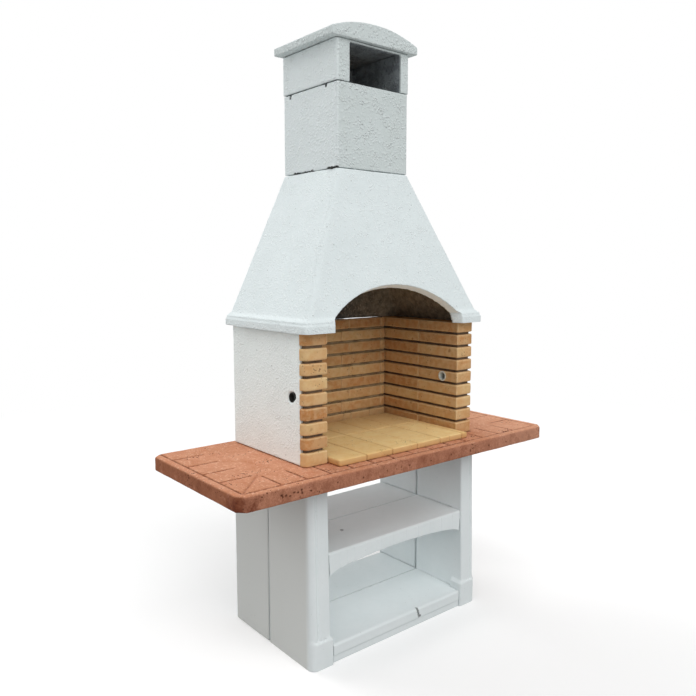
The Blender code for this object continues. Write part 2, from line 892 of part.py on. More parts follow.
def hood_shell_rings():
    """Outer rings of the hood, from the foot of the rim to the top of the pyramid."""
    fascia_top = rim_bottom + rim_fascia_height
    bead_foot = fascia_top + rim_step_height
    bead_top = bead_foot + rim_bead_height
    profile = (
        (rim_bottom, rim_foot_bevel, rim_corner_round),
        (rim_bottom + rim_foot_bevel, 0.0, rim_corner_round),
        (fascia_top, 0.0, rim_corner_round),
        (bead_foot, rim_step_inset, rim_corner_round),
        (bead_top, rim_step_inset, rim_corner_round),
        (bead_top + rim_bead_round, rim_step_inset + rim_bead_round, rim_corner_round),
        (hood_foot, rim_step_inset + rim_slope_run, hood_corner_round),
    )
    rings = [at_height(rim_plan(inset, radius), z) for z, inset, radius in profile]
    top = rounded_plan(stack_half_width, stack_front, stack_back, stack_round, rim_foot_bevel)
    rings.append(at_height(top, hood_top))
    return rings


def hood_foot_plan():
    """Half width, front and back of the pyramid where it stands on the rim."""
    inset = rim_step_inset + rim_slope_run
    return rim_half_width - inset, rim_front + inset, rim_back - rim_back_run


def cavity_ring(z):
    """The hollow of the hood at a height, one wall inside the pyramid."""
    foot_x, foot_front, foot_back = hood_foot_plan()
    share = (z - hood_foot) / (hood_top - hood_foot)
    half_x = foot_x + (stack_half_width - foot_x) * share - hood_wall
    front = foot_front + (stack_front - foot_front) * share + hood_wall
    back = foot_back + (stack_back - foot_back) * share - hood_back_wall
    return at_height(rounded_plan(half_x, front, back, stack_round, rim_foot_bevel), z)


def arch_ring(y):
    """Front outline of the arched opening, which narrows as it runs in from the face of the hood."""
    foot_front = hood_foot_plan()[1]
    share = (y - foot_front) / hood_wall
    half = arch_half_span - arch_splay * share
    rise = arch_rise - arch_splay_rise * share
    springing = rim_bottom + rim_height
    radius = (half * half + rise * rise) / (2 * rise)
    sweep = math.degrees(math.asin(half / radius))
    curve = arc((0.0, springing + rise - radius), radius, 90.0 - sweep, 90.0 + sweep, arch_steps)
    outline = [(-half, rim_bottom - overrun), (half, rim_bottom - overrun)] + curve
    return at_depth(outline, y)


def build_hood(materials):
    """Cast hood: moulded rim, hollow pyramid and splayed arched opening."""
    piece = loft("hood", hood_shell_rings(), materials["stucco"])
    cavity = [cavity_ring(rim_bottom - overrun), cavity_ring(hood_top + overrun)]
    cut(piece, loft("hood_cavity_cutter", cavity, materials["stucco"]))
    reach = hood_foot_plan()[1] + 3 * hood_wall
    arch = [arch_ring(rim_front - overrun), arch_ring(reach)]
    cut(piece, loft("hood_arch_cutter", arch, materials["stucco"]))
    shade_round(piece)
    return piece


def build_stack(materials):
    """Chimney stack, a square flue with its own wall."""
    rings = []
    for z in (hood_top + gap, stack_top):
        plan = rounded_plan(stack_half_width, stack_front, stack_back, stack_round, rim_foot_bevel)
        rings.append(at_height(plan, z))
    piece = loft("chimney_stack", rings, materials["stucco"])
    inner_x = stack_half_width - stack_wall
    low = (-inner_x, stack_front + stack_wall, hood_top - overrun)
    high = (inner_x, stack_back - stack_wall, stack_top + overrun)
    cut(piece, box("flue_cutter", low, high, materials["stucco"]))
    shade_round(piece)
    return piece


def build_cap(materials):
    """Chimney cap, three walls and a thin head around the smoke opening in front."""
    rings = []
    for z in (stack_top + gap, cap_top):
        half = stack_half_width + cap_overhang
        plan = rounded_plan(half, stack_front, stack_back, stack_round, rim_foot_bevel)
        rings.append(at_height(plan, z))
    piece = loft("chimney_cap", rings, materials["stucco"])
    left_x = cap_wall - stack_half_width + smoke_opening_shift
    right_x = stack_half_width - cap_wall + smoke_opening_shift
    head_back = stack_front + smoke_opening_head_thickness
    low = (left_x, stack_front - overrun, stack_top - overrun)
    high = (right_x, head_back + overrun, cap_top - smoke_opening_head)
    cut(piece, box("smoke_opening_cutter", low, high, materials["stucco"]))
    low = (left_x, head_back, stack_top - overrun)
    high = (right_x, stack_back - cap_wall, cap_top + overrun)
    cut(piece, box("cap_cavity_cutter", low, high, materials["stucco"]))
    shade_round(piece)
    return piece


def build_roof(materials):
    """Roof slab of the cap, flat below and arched on top."""
    half = stack_half_width + roof_overhang_side
    low = cap_top + gap
    edge = low + roof_edge_thickness
    radius = (half * half + roof_rise * roof_rise) / (2 * roof_rise)
    sweep = math.degrees(math.asin(half / radius))
    outline = [(-half, low), (half, low)]
    outline += arc((0.0, edge + roof_rise - radius), radius, 90.0 - sweep, 90.0 + sweep, roof_steps)
    front = stack_front - roof_overhang_front
    back = stack_back + roof_overhang_back
    piece = loft("roof_slab", [at_depth(outline, front), at_depth(outline, back)], materials["stucco"])
    bevel(piece, roof_arris, angle=50.0)
    shade_round(piece)
    return piece


def build_barbecue():
    """Make every piece, from the ground up."""
    clear_objects()
    materials = make_materials()
    build_front_sides(materials)
    build_rear_sides(materials)
    build_front_floor(materials)
    build_front_shelf(materials)
    build_rear_slabs(materials)
    build_worktop(materials)
    build_courses(materials)
    build_side_mortar(materials)
    build_back_mortar(materials)
    build_panels(materials)
    build_sleeves(materials)
    build_hearth(materials)
    build_hood(materials)
    build_stack(materials)
    build_cap(materials)
    build_roof(materials)


build_barbecue()
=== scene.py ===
import math
import random

import bpy
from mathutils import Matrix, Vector


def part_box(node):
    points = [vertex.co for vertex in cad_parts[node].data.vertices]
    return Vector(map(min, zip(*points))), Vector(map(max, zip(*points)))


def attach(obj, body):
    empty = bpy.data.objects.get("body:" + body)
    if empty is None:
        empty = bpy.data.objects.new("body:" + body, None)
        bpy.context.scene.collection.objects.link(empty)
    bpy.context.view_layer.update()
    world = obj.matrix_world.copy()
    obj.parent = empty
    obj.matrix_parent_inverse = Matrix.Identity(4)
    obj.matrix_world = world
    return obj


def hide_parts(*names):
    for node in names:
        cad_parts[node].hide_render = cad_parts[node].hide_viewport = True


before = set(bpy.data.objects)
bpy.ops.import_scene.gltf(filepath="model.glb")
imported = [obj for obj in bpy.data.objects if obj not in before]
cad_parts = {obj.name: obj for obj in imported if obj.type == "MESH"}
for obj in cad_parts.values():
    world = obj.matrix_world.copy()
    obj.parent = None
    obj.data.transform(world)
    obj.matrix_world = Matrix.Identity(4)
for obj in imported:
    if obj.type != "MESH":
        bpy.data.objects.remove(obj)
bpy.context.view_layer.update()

hood_grain = 0.0030
casting_grain = 0.0036
slab_grain = 0.0025
worktop_grain = 0.0027
brick_grain = 0.0033

# Most triangles that a piece keeps
hood_most = 180000
casting_most = 60000
slab_most = 110000
worktop_most = 185000
brick_most = 7000
tile_most = 9000
bed_most = 6000

# How deep the waves and the roughness of a cast face go, in metres
stucco_faces = (0.0016, 0.0012)
hood_faces = (0.0016, 0.0009)
paint_faces = (0.0006, 0.0003)

# How far the painted shade of a pit reaches, in shares of the pit's half size: along X, and all round,
# squared
shade_along = 1.2
shade_round = 1.5

# How near to its seat a face is pressed flat onto it, and how far a tool reaches past a piece
seat_band = 0.0045
past = 0.01

# Which way each side lies along X
sides = {"left": -1, "right": 1}

# Hood
rim_height = 0.051
rim_overhang = 0.020
hood_wall = 0.033
arch_wall = 0.042

# Plinth shoulders: between which heights they lie, how far they are lowered, and where they are rough
shoulder_heights = (0.105, 0.107)
shoulder_drop = 0.010
shoulder_spots = {"left": (-0.405, -0.388, -0.368), "right": (0.372, 0.396)}

# How far the joint behind each front side slab gapes at its top and at its foot
side_gaps = {"left": (0.0030, 0.0050), "right": (0.0032, 0.0032)}

# Lines on the pilasters: inner and outer edge, front, back, and how far each leans back
line_foot = 0.112
line_head = 0.664
pilaster_lines = (
    (0.3943, 0.3987, -0.2400, -0.2115, 0.0132),
    (0.4245, 0.4400, -0.2135, -0.2095, 0.0240),
)

# Board marks on the apron of the front shelf
board_marks = (-0.292, -0.262, -0.236, -0.224, -0.196, -0.120)
mark_width = 0.004
mark_depth = 0.0016

# Spit sleeves
sleeve_radius = 0.017
bore_radius = 0.0155
drill_play = 0.0012

# Wear of bricks, tiles and mortar, and the pale band along an arris, partly wear and partly a painted
# highlight: its width and its fading part
brick_wear = 0.0018
tile_wear = 0.0010
mortar_wear = 0.003
arris_start = 0.002
arris_fade = 0.004

# Brickwork: joints, arrises, the jambs, the mortar beds, and where the back wall's head joints lie
hairline = 0.0006
wide_joint = 0.010
first_joint = 0.219
corner_gap = 0.004
bed_arris = 0.0032
tile_arris = 0.002
tile_drop = 0.0010
jamb_round = 0.022
jamb_lip = 0.0275
jamb_recess = 0.024
bed_depth = 0.010
bed_recess = 0.0045
back_rows = {
    "odd": (-0.104, 0.118, 0.300),
    "even": (-0.145, 0.077, 0.299),
    "foot": (-0.104, 0.090, 0.128, 0.236),
}

# Tones of the back wall's bricks, from 0 for pale to 0.9 for dark, and 1 for smoky
back_tones = {
    9: (0.80, 0.75, 0.75, 0.70),
    8: (0.50, 0.20, 0.15, 0.35),
    7: (0.65, 0.55, 0.50, 0.40),
    6: (1.00, 0.55, 0.60, 0.75),
    5: (0.15, 0.10, 0.15, 0.30),
    4: (1.00, 0.60, 0.65, 0.20),
    3: (0.10, 0.35, 0.40, 0.25),
    2: (0.75, 0.60, 0.55, 0.50),
    1: (0.20, 0.30, 0.20, 0.25, 0.20),
}
darkest_tone = 0.9

chance = random.Random(7)


# Workshop helpers

def take(piece):
    """Make one piece the only one selected, and the active one."""
    bpy.ops.object.select_all(action="DESELECT")
    piece.select_set(True)
    bpy.context.view_layer.objects.active = piece


def settle(name):
    """Name the active piece and put its place in its mesh."""
    piece = bpy.context.active_object
    bpy.ops.object.transform_apply(location=True, rotation=True, scale=True)
    piece.name = piece.data.name = name
    return piece


def block(name, low, high):
    """A block between two corners."""
    bpy.ops.object.select_all(action="DESELECT")
    low, high = Vector(low), Vector(high)
    bpy.ops.mesh.primitive_cube_add(size=1.0, location=(low + high) / 2, scale=high - low)
    return settle(name)


def drum(name, start, end, radius, facets):
    """A round bar along X."""
    bpy.ops.object.select_all(action="DESELECT")
    middle = (Vector(start) + Vector(end)) / 2
    turn = (0.0, math.radians(90.0), 0.0)
    bpy.ops.mesh.primitive_cylinder_add(
        vertices=facets, radius=radius, depth=abs(end[0] - start[0]), location=middle, rotation=turn
    )
    return settle(name)


def bring_in(name, data):
    """Put something new in the scene."""
    made = bpy.data.objects.new(name, data)
    bpy.context.scene.collection.objects.link(made)
    return made


def casting(node, name):
    """A copy of a node's mesh, with its loose triangles sewn together."""
    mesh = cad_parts[node].data.copy()
    mesh.name = name
    mesh.materials.clear()
    piece = bring_in(name, mesh)
    take(piece)
    bpy.ops.object.mode_set(mode="EDIT")
    bpy.ops.mesh.select_all(action="SELECT")
    bpy.ops.mesh.remove_doubles(threshold=0.00001)
    bpy.ops.object.mode_set(mode="OBJECT")
    return piece


def work(piece, kind, **settings):
    """Put a modifier on a piece and apply it."""
    take(piece)
    modifier = piece.modifiers.new(kind.lower(), kind)
    for name, value in settings.items():
        setattr(modifier, name, value)
    bpy.ops.object.modifier_apply(modifier=modifier.name)


def cut(piece, tool):
    """Take a tool's form out of a piece, and clear the tool away."""
    work(piece, "BOOLEAN", object=tool, operation="DIFFERENCE", solver="EXACT")
    clear_away((tool,))


def clear_away(pieces):
    """Remove tools that have been used and blanks that have been copied."""
    for piece in pieces:
        bpy.data.objects.remove(piece, do_unlink=True)


def even_mesh(piece, fineness):
    """Give a piece an even mesh, which rounds its arrises a little."""
    work(piece, "REMESH", mode="VOXEL", voxel_size=fineness)


def pick(piece, kind, wanted):
    """Select some points or edges of a piece, in edit mode."""
    take(piece)
    bpy.ops.object.mode_set(mode="EDIT")
    bpy.ops.mesh.select_mode(type=kind)
    bpy.ops.mesh.select_all(action="DESELECT")
    bpy.ops.object.mode_set(mode="OBJECT")
    for item in piece.data.edges if kind == "EDGE" else piece.data.vertices:
        item.select = wanted(item)
    bpy.ops.object.mode_set(mode="EDIT")


def round_edges(piece, wanted, width, steps):
    """Round the edges of a piece that are wanted by the places of their two ends."""
    def by_ends(edge):
        return wanted(*[piece.data.vertices[index].co for index in edge.vertices])
    pick(piece, "EDGE", by_ends)
    bpy.ops.mesh.bevel(offset=width, segments=steps, affect="EDGES")
    bpy.ops.object.mode_set(mode="OBJECT")


def shift(piece, wanted, offset):
    """Move the points of a piece that are wanted by their place."""
    pick(piece, "VERT", lambda point: wanted(point.co))
    bpy.ops.transform.translate(value=offset)
    bpy.ops.object.mode_set(mode="OBJECT")


def level(piece, wanted, height):
    """Press the points of a piece that are wanted by their place flat at a height."""
    pick(piece, "VERT", lambda point: wanted(point.co))
    bpy.ops.transform.resize(value=(1.0, 1.0, 0.0), center_override=(0.0, 0.0, height))
    bpy.ops.object.mode_set(mode="OBJECT")


def corners(piece):
    """The lowest and the highest corner of a piece."""
    places = [point.co for point in piece.data.vertices]
    low = Vector([min(place[axis] for place in places) for axis in range(3)])
    high = Vector([max(place[axis] for place in places) for axis in range(3)])
    return low, high


def note(piece, name, value_at):
    """Leave a value at every point of a piece, for its material to read."""
    values = piece.data.attributes.new(name, "FLOAT", "POINT")
    for point in piece.data.vertices:
        values.data[point.index].value = value_at(point)


def smooth(piece, angle=50.0):
    """Round shading, with the sharp arrises kept."""
    take(piece)
    bpy.ops.object.shade_smooth_by_angle(angle=math.radians(angle))


def finish_piece(piece, material, slot, *nodes):
    """Give a piece its material, fix it to the body and let it stand for its nodes. The slot is not used."""
    piece.data.materials.clear()
    piece.data.materials.append(material)
    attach(piece, "root")
    if nodes:
        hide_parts(*nodes)


def thin(piece, most):
    """Merge the smallest faces until a piece has at most so many triangles."""
    count = sum(len(face.vertices) - 2 for face in piece.data.polygons)
    if count > most:
        work(piece, "DECIMATE", ratio=most / count)


def lumps(name, size, depth=2):
    """A cloudy unevenness of a given size."""
    texture = bpy.data.textures.new(name, "CLOUDS")
    texture.noise_scale = size
    texture.noise_depth = depth
    return texture


wavy = lumps("hand_trowelled_waves", 0.11, 1)
rough = lumps("cast_roughness", 0.018)
worn = lumps("worn_arrises", 0.030)


def uneven(piece, texture, height, middle=1.0):
    """Push a surface in and out by a cloudy unevenness. At a middle of 1 it only goes in."""
    work(piece, "DISPLACE", texture=texture, texture_coords="LOCAL", strength=height, mid_level=middle)


def pebble(place, size):
    """A rough pebble, used as a tool for digging a pit."""
    bpy.ops.object.select_all(action="DESELECT")
    half = [length / 2 for length in size]
    bpy.ops.mesh.primitive_ico_sphere_add(subdivisions=2, radius=1.0, location=place, scale=half)
    tool = settle("pebble")
    uneven(tool, worn, min(half), 0.5)
    return tool


def dig(piece, pits):
    """Dig rough pits out of a piece, each given by its middle and its size."""
    for place, size in pits:
        cut(piece, pebble(place, size))


def shade_pits(piece, pits):
    """Note which points of a piece lie in its pits, where shade is painted."""
    def in_pit(point):
        for place, size in pits:
            ways = [2 * (point.co[axis] - place[axis]) / size[axis] for axis in range(3)]
            if abs(ways[0]) < shade_along and sum(way * way for way in ways) < shade_round:
                return 1.0
        return 0.0
    note(piece, "pit", in_pit)


def saw(piece, low, high):
    """Take a block out of a piece."""
    cut(piece, block("saw", low, high))


# Steps from which materials are made

def feed(tree, node, inputs):
    """Set a node's inputs, or link sockets to them."""
    for label, value in inputs.items():
        if isinstance(value, bpy.types.NodeSocket):
            tree.links.new(value, node.inputs[label])
        else:
            node.inputs[label].default_value = value


def put(tree, kind, inputs, **settings):
    """A node with its settings and its inputs."""
    node = tree.nodes.new(kind)
    for label, value in settings.items():
        setattr(node, label, value)
    feed(tree, node, inputs)
    return node


def noise(tree, place, scale, detail=3.0, roughness=0.55):
    """A cloud noise, read at a place."""
    inputs = {"Vector": place, "Scale": scale, "Detail": detail, "Roughness": roughness}
    return put(tree, "ShaderNodeTexNoise", inputs).outputs["Fac"]


def spread(tree, value, low, high, out_low=0.0, out_high=1.0):
    """Stretch a value from one range to another, held at its ends."""
    inputs = {"Value": value, "From Min": low, "From Max": high, "To Min": out_low, "To Max": out_high}
    return put(tree, "ShaderNodeMapRange", inputs).outputs["Result"]


def sums(tree, operation, first, second=0.0):
    """One step of arithmetic."""
    return put(tree, "ShaderNodeMath", {0: first, 1: second}, operation=operation).outputs[0]


def times(tree, first, second):
    """One value times another."""
    return sums(tree, "MULTIPLY", first, second)


def along(tree, place, axis):
    """How far along one axis the shaded point lies."""
    return put(tree, "ShaderNodeSeparateXYZ", {"Vector": place}).outputs[axis]


def mark(tree, name):
    """A value that the modelling left at the points of a piece."""
    return put(tree, "ShaderNodeAttribute", {}, attribute_type="GEOMETRY", attribute_name=name).outputs["Fac"]


def linear(picked):
    """A colour given from 0 to 255 a channel, made linear."""
    made = []
    for channel in picked:
        share = channel / 255.0
        made.append(share / 12.92 if share < 0.04045 else ((share + 0.055) / 1.055) ** 2.4)
    return (*made, 1.0)


# Where a mixing node has its two colours and the colour that it puts out
mix_under = 6
mix_over = 7
mix_result = 2


def coats(tree, base, *layers):
    """Lay colours over a base one after another, each by its mask and at its strength."""
    for mask, strength, over in layers:
        under, over = [linear(tint) if isinstance(tint, tuple) else tint for tint in (base, over)]
        inputs = {"Factor": times(tree, mask, strength), mix_under: under, mix_over: over}
        base = put(tree, "ShaderNodeMix", inputs, data_type="RGBA").outputs[mix_result]
    return base


# Surface effects that several materials share

def new_group(name, inputs, outputs):
    """A shader group with named number sockets and a vector called Place."""
    group = bpy.data.node_groups.new(name, "ShaderNodeTree")
    group.interface.new_socket("Place", in_out="INPUT", socket_type="NodeSocketVector")
    for label, value in inputs.items():
        socket = group.interface.new_socket(label, in_out="INPUT", socket_type="NodeSocketFloat")
        socket.default_value = value
    for label in outputs:
        group.interface.new_socket(label, in_out="OUTPUT", socket_type="NodeSocketFloat")
    given = group.nodes.new("NodeGroupInput").outputs
    end = group.nodes.new("NodeGroupOutput")
    return group, given, end


def make_spatter_group():
    """Thrown stucco: small round grains that stand up, in thick and thin patches, and a fine skin."""
    group, given, end = new_group(
        "thrown_stucco", {"Size": 160.0, "Cover": 0.55}, ("Height", "Grains", "Pores")
    )
    place, size = given["Place"], given["Size"]
    inputs = {"Vector": place, "Scale": size, "Smoothness": 0.5}
    cells = put(group, "ShaderNodeTexVoronoi", inputs, feature="SMOOTH_F1")
    drops = spread(group, cells.outputs["Distance"], 0.55, 0.15)
    patches = noise(group, place, times(group, size, 0.30))
    grains = times(group, drops, spread(group, patches, sums(group, "SUBTRACT", 0.95, given["Cover"]), 0.70))
    fine = noise(group, place, times(group, size, 1.9), 4.0, 0.65)
    pores = noise(group, place, times(group, size, 0.8), 2.0, 0.5)
    feed(group, end, {
        "Height": sums(group, "ADD", grains, times(group, fine, 0.5)),
        "Grains": grains,
        "Pores": spread(group, pores, 0.30, 0.24),
    })
    return group


def make_cast_group():
    """Cast surface: soft unevenness, fine grain and a few open air holes."""
    group, given, end = new_group("cast_surface", {"Size": 60.0, "Holes": 0.2}, ("Height", "Holes"))
    place, size = given["Place"], given["Size"]
    soft = noise(group, place, size, 4.0, 0.6)
    fine = noise(group, place, times(group, size, 7.0), 3.0, 0.7)
    inputs = {"Vector": place, "Scale": times(group, size, 1.3)}
    cells = put(group, "ShaderNodeTexVoronoi", inputs, feature="F1")
    where = noise(group, place, times(group, size, 0.2), 2.0)
    reach = times(group, spread(group, where, 0.45, 0.75), given["Holes"])
    hole = spread(group, sums(group, "SUBTRACT", cells.outputs["Distance"], reach), 0.05, -0.02)
    even = sums(group, "ADD", times(group, soft, 0.7), times(group, fine, 0.3))
    feed(group, end, {"Height": sums(group, "SUBTRACT", even, times(group, hole, 1.5)), "Holes": hole})
    return group


def make_blotch_group():
    """Blotches in two sizes. A contrast of 0.5 gives hard edges, less gives soft ones, and more turns
    the mask round and softens it again."""
    group, given, end = new_group("blotches", {"Size": 12.0, "Contrast": 0.5}, ("Mask", "Fine Mask"))
    place, size = given["Place"], given["Size"]
    half = times(group, given["Contrast"], 0.5)
    none = sums(group, "ADD", 0.25, half)
    full = sums(group, "SUBTRACT", 0.75, half)
    broad = noise(group, place, size, 3.0, 0.6)
    fine = noise(group, place, times(group, size, 8.0), 4.0, 0.7)
    feed(group, end, {"Mask": spread(group, broad, none, full), "Fine Mask": spread(group, fine, none, full)})
    return group


thrown_stucco = make_spatter_group()
cast_surface = make_cast_group()
blotches = make_blotch_group()


def effect(tree, group, place, **values):
    """Place a shared effect in a material with its own values, and give its outputs."""
    node = put(tree, "ShaderNodeGroup", {}, node_tree=group)
    feed(tree, node, {"Place": place, **values})
    return node.outputs


# Materials

def start_material(name, roughness, metallic=0.0, specular=0.3):
    """A material with its shader and the piece's own coordinates."""
    material = bpy.data.materials.new(name)
    material.use_nodes = True
    tree = material.node_tree
    shader = tree.nodes["Principled BSDF"]
    shader.inputs["Roughness"].default_value = roughness
    shader.inputs["Metallic"].default_value = metallic
    shader.inputs["Specular IOR Level"].default_value = specular
    place = tree.nodes.new("ShaderNodeTexCoord").outputs["Object"]
    return material, tree, shader, place


def end_material(material, shader, base, height, distance, strength=1.0):
    """Give the shader its colour, and let a height drive the shading of the surface."""
    tree = material.node_tree
    bump = put(tree, "ShaderNodeBump", {"Height": height, "Distance": distance, "Strength": strength})
    feed(tree, shader, {"Base Color": base, "Normal": bump.outputs["Normal"]})
    return material


def spatter_colour(tree, place, plain, weathered, size):
    """The colours of the stucco: faint weathering, a painted highlight on the raised grains and a few dark
    pores.
    """
    grains = effect(tree, thrown_stucco, place, Size=size, Cover=0.60)
    weather = effect(tree, blotches, place, Size=9.0, Contrast=0.2)
    base = coats(
        tree, plain,
        (weather["Mask"], 1.0, weathered),
        # Painted highlight: the tops of the raised grains are coloured paler
        (grains["Grains"], 0.6, (246, 251, 251)),
        (grains["Pores"], 0.7, (150, 158, 156)),
    )
    return base, grains["Height"]


def make_stucco():
    """White spatter stucco."""
    material, tree, shader, place = start_material("white_spatter_stucco", 0.85)
    base, height = spatter_colour(tree, place, (242, 249, 247), (239, 246, 244), 130.0)
    return end_material(material, shader, base, height, 0.0028)


def make_flue_stucco():
    """Coarse stucco outside, painted paler on the left face under the roof as painted light and smoother
    there, and soot in the hollow.
    """
    material, tree, shader, place = start_material("flue_stucco_and_soot", 0.85)
    base, height = spatter_colour(tree, place, (216, 225, 225), (212, 221, 220), 110.0)
    left_face = spread(tree, along(tree, place, "X"), -0.166, -0.170)
    left_face_painted_light = times(tree, left_face, spread(tree, along(tree, place, "Z"), 2.2075, 2.2065))
    soot = effect(tree, blotches, place, Size=26.0, Contrast=0.6)["Mask"]
    black = coats(tree, (146, 153, 157), (soot, 1.0, (122, 128, 132)))
    base = coats(
        tree, base,
        # Painted light: the left face under the roof is coloured paler
        (left_face_painted_light, 0.65, (238, 246, 247)),
        (mark(tree, "inside"), 1.0, black),
        # Painted shade: the pits are coloured near black
        (mark(tree, "pit"), 1.0, (58, 58, 56)),
    )
    height = times(tree, height, spread(tree, left_face_painted_light, 0.0, 1.0, 1.0, 0.75))
    return end_material(material, shader, base, height, 0.0048)


def make_hood_stucco():
    """The same stucco outside, the bare cement of the arch's underside painted paler than the stucco as
    painted light, and soot in the hollow, thinner to the right.
    """
    material, tree, shader, place = start_material("hood_stucco_and_soot", 0.85)
    base, height = spatter_colour(tree, place, (228, 237, 238), (225, 234, 235), 130.0)
    soot = effect(tree, blotches, place, Size=42.0, Contrast=0.85)["Mask"]
    to_the_right = spread(tree, along(tree, place, "X"), 0.10, 0.36)
    specks = spread(tree, noise(tree, place, 95.0, 4.0, 0.7), 0.55, 0.63)
    thin_soot = coats(tree, (170, 154, 130), (soot, 1.0, (122, 108, 90)))
    black = coats(
        tree, (104, 100, 93),
        (soot, 1.0, (70, 66, 61)),
        (to_the_right, 1.0, thin_soot),
        (specks, 0.55, (186, 172, 152)),
    )
    base = coats(
        tree, base,
        # Painted light: the downward faces of the arch are coloured near white, paler than the stucco
        (mark(tree, "reveal"), 1.0, (246, 250, 244)),
        (mark(tree, "inside"), 1.0, black),
    )
    return end_material(material, shader, base, height, 0.0022)


def make_paint():
    """White masonry paint on smooth cast concrete, with a faint film of dust, the outer flanks painted darker
    as painted shade under the worktop, and painted shade in the air holes and pits.
    """
    material, tree, shader, place = start_material("white_masonry_paint", 0.6)
    surface = effect(tree, cast_surface, place, Size=38.0, Holes=0.05)
    weather = effect(tree, blotches, place, Size=6.0, Contrast=0.2)
    outside = spread(tree, sums(tree, "ABSOLUTE", along(tree, place, "X")), 0.421, 0.425)
    flank_shade = times(tree, outside, spread(tree, along(tree, place, "Y"), -0.205, -0.185))
    base = coats(
        tree, (225, 231, 232),
        (weather["Mask"], 1.0, (221, 228, 229)),
        (weather["Fine Mask"], 0.06, (206, 211, 209)),
        # Painted shade: the outer flanks under the worktop are coloured darker
        (flank_shade, 1.0, (206, 208, 205)),
        # Painted shade: the air holes and the pits are coloured darker
        (surface["Holes"], 1.0, (140, 138, 132)),
        (mark(tree, "pit"), 0.75, (92, 94, 92)),
    )
    return end_material(material, shader, base, surface["Height"], 0.0006, 0.4)


def make_worktop_finish():
    """Terracotta-coloured cast concrete: mottled on top with a painted highlight on the crests, dirt and
    painted shade in the pattern, browner on the edge, and painted shade on its left end.
    """
    material, tree, shader, place = start_material("terracotta_cast_concrete", 0.9, specular=0.06)
    surface = effect(tree, cast_surface, place, Size=70.0, Holes=0.34)
    broad = effect(tree, blotches, place, Size=7.0, Contrast=0.75)["Mask"]
    specks = effect(tree, blotches, place, Size=22.0, Contrast=0.7)
    right, back, up = [along(tree, place, axis) for axis in "XYZ"]
    from_middle = sums(tree, "ABSOLUTE", right)
    chips = spread(tree, noise(tree, place, 110.0, 3.0, 0.7), 0.57, 0.63)
    # Painted highlight: the highest parts of the relief are coloured paler
    crest = spread(tree, up, 0.7224, 0.7234)
    top = coats(
        tree, (211, 149, 117),
        (broad, 1.0, (196, 132, 98)),
        (specks["Mask"], 0.35, (222, 168, 136)),
        (specks["Fine Mask"], 0.40, (176, 114, 86)),
        (chips, 0.55, (240, 200, 174)),
        (crest, 0.25, (230, 182, 154)),
    )

    # The rolled edge, with runs down it, and the left end painted darker as painted shade
    left_end_shade_colour = coats(tree, (164, 106, 78), (broad, 1.0, (146, 92, 66)))
    left_end_shade = spread(tree, right, -0.733, -0.741)
    drawn = put(tree, "ShaderNodeVectorMath", {0: place, 1: (1.0, 1.0, 0.6)}, operation="MULTIPLY")
    runs = noise(tree, drawn.outputs["Vector"], 34.0, 4.0, 0.65)
    dark_runs = spread(tree, runs, 0.52, 0.68)
    pale_runs = spread(tree, runs, 0.46, 0.34)
    side = coats(
        tree, (188, 131, 104),
        (broad, 1.0, (172, 116, 91)),
        (left_end_shade, 1.0, left_end_shade_colour),
        (dark_runs, 0.40, (130, 82, 62)),
        (pale_runs, 0.35, (206, 148, 122)),
        (specks["Fine Mask"], 0.40, (126, 78, 58)),
    )
    edge = spread(tree, up, 0.7215, 0.7165)
    right_part = spread(tree, right, 0.35, 0.60)

    # Dirt and painted shade in the sunken lines of the pattern, ragged, and faint along the mitres
    inner = times(tree, spread(tree, from_middle, 0.734, 0.730), spread(tree, back, -0.288, -0.284))
    sunken = spread(tree, up, 0.7221, 0.7202)
    past_mitre = sums(tree, "SUBTRACT", sums(tree, "ADD", from_middle, back), 0.445)
    off_mitre = sums(tree, "ABSOLUTE", past_mitre)
    mitre = spread(tree, off_mitre, 0.008, 0.010, 0.10, 1.0)
    ragged = spread(tree, noise(tree, place, 75.0, 3.0, 0.7), 0.35, 0.60, 0.25, 1.0)
    dirt_and_shade = times(tree, times(tree, times(tree, sunken, inner), ragged), mitre)

    # A damp stain on the front left corner
    corner = put(tree, "ShaderNodeVectorMath", {0: place, 1: (-0.748, -0.300, 0.683)}, operation="DISTANCE")
    near = spread(tree, corner.outputs["Value"], 0.085, 0.020)
    uneven_damp = sums(tree, "ADD", near, spread(tree, specks["Mask"], 0.0, 1.0, -0.45, 0.25))
    damp = times(tree, spread(tree, uneven_damp, 0.0, 1.0), edge)
    base = coats(
        tree, top,
        (edge, 1.0, side),
        (right_part, 0.20, (240, 190, 160)),
        (dirt_and_shade, 1.0, (112, 64, 44)),
        (damp, 1.0, (112, 60, 42)),
        # Painted shade: the air holes and the pits are coloured dark
        (surface["Holes"], 1.0, (104, 62, 46)),
        (mark(tree, "pit"), 1.0, (92, 54, 40)),
    )
    return end_material(material, shader, base, surface["Height"], 0.0032)


